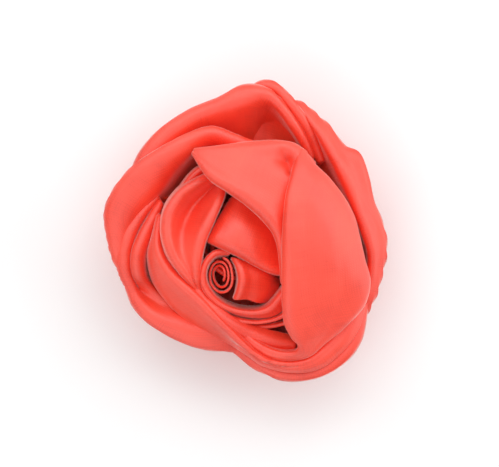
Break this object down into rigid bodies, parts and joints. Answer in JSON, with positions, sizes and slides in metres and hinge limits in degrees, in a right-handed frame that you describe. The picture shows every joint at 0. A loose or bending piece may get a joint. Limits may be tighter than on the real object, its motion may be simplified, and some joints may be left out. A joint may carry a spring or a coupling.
{
  "type": "flower hair clip",
  "caption": "Folded satin rose sewn to a felt disc, strapped to a sprung alligator clip whose jaw opens by hand.",
  "frame": {"origin": "x and y at the middle of the whole hair clip's box, z at its lowest point, the tail of the clip's jaw with the jaw closed", "axes": "+Z out of the rose's face; +X along the clip from its tail to its tip; +Y up as the rose is looked at"},
  "size_m": [0.0706, 0.0732, 0.0356],
  "materials": {
    "satin": "satin",
    "felt": "matte felt",
    "steel": "nickel plated",
    "ribbon": "grosgrain",
    "thread": "matte thread"
  },
  "bodies": {
    "rose_and_arm": {"petal_fold_right": "satin", "petal_fold_upper": "satin", "bud_core": "satin", "bud_wrap": "satin", "bud_petal": "satin", "petal_inner_right": "satin", "petal_inner_left": "satin", "wrap_inner": "satin", "wrap_middle": "satin", "wrap_outer": "satin", "petal_tuck": "satin", "petal_sweep": "satin", "petal_left": "satin", "petal_lower_left": "satin", "petal_bottom": "satin", "petal_upper_right": "satin", "petal_right": "satin", "petal_top": "satin", "rolled_core": "satin", "felt_disc": "felt", "felt_strap": "felt", "stitching_back": "thread", "stitching_front": "thread", "clip_arm": "steel", "hinge_pin": "steel", "torsion_spring": "steel", "ribbon_lining": "ribbon"},
    "jaw": {"clip_jaw": "steel"}
  },
  "joints": [
    {"name": "jaw_hinge", "type": "hinge", "parent": "rose_and_arm", "child": "jaw", "pos_m": [-0.00914, -0.00009, 0.0046], "axis": [0, 1, 0], "range_deg": [0, 22], "stiffness_Nm_per_rad": 0.05, "springref_deg": -45.84, "deforming": ["torsion_spring"]}
  ]
}
